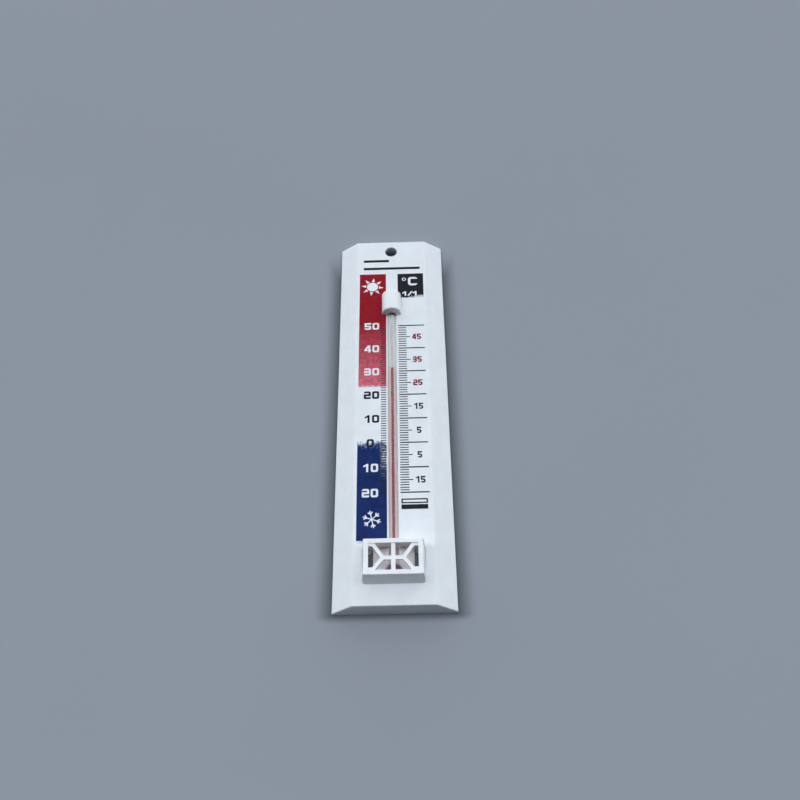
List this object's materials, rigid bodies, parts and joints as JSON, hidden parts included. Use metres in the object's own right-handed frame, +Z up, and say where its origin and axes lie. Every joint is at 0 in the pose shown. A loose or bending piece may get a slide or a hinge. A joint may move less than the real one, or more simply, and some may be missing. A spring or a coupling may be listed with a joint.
{
  "type": "wall thermometer",
  "caption": "Spirit-in-glass wall thermometer on a moulded backboard, with a printed scale, a hood over the tube's end and a lattice guard clipped on over the bulb.",
  "frame": {"origin": "centre of the hanging hole, at the back of the 1.8 mm face wall that it pierces", "axes": "+Z up along the board, the printed face towards -Y, the wall towards +Y and touched by the back rim at Y = 6.6 mm, +X to the right as seen from the front"},
  "size_m": [0.0532, 0.0174, 0.2],
  "materials": {
    "board_plastic": "white moulded polystyrene with a soft gloss",
    "fitting_plastic": "white moulded plastic with a satin gloss",
    "clear_glass": "clear drawn glass",
    "red_spirit": "dyed red liquid",
    "red_ink": "printed ink, thin towards its lower end",
    "blue_ink": "printed ink, broken at its upper end",
    "black_ink": "printed ink"
  },
  "bodies": {
    "root": {"backboard": "board_plastic", "tube_hood": "fitting_plastic", "bulb_guard": "fitting_plastic", "glass_tube": "clear_glass", "bulb_spirit": "red_spirit", "spirit_column": "red_spirit", "red_print": "red_ink", "blue_print": "blue_ink", "black_print": "black_ink"},
    "meniscus": {"spirit_meniscus": "red_spirit"}
  },
  "joints": [
    {"name": "spirit_rise", "type": "slide", "parent": "root", "child": "meniscus", "axis": [0, 0, 1], "range_m": [-0.066, 0.0255], "deforming": ["spirit_column"]}
  ]
}
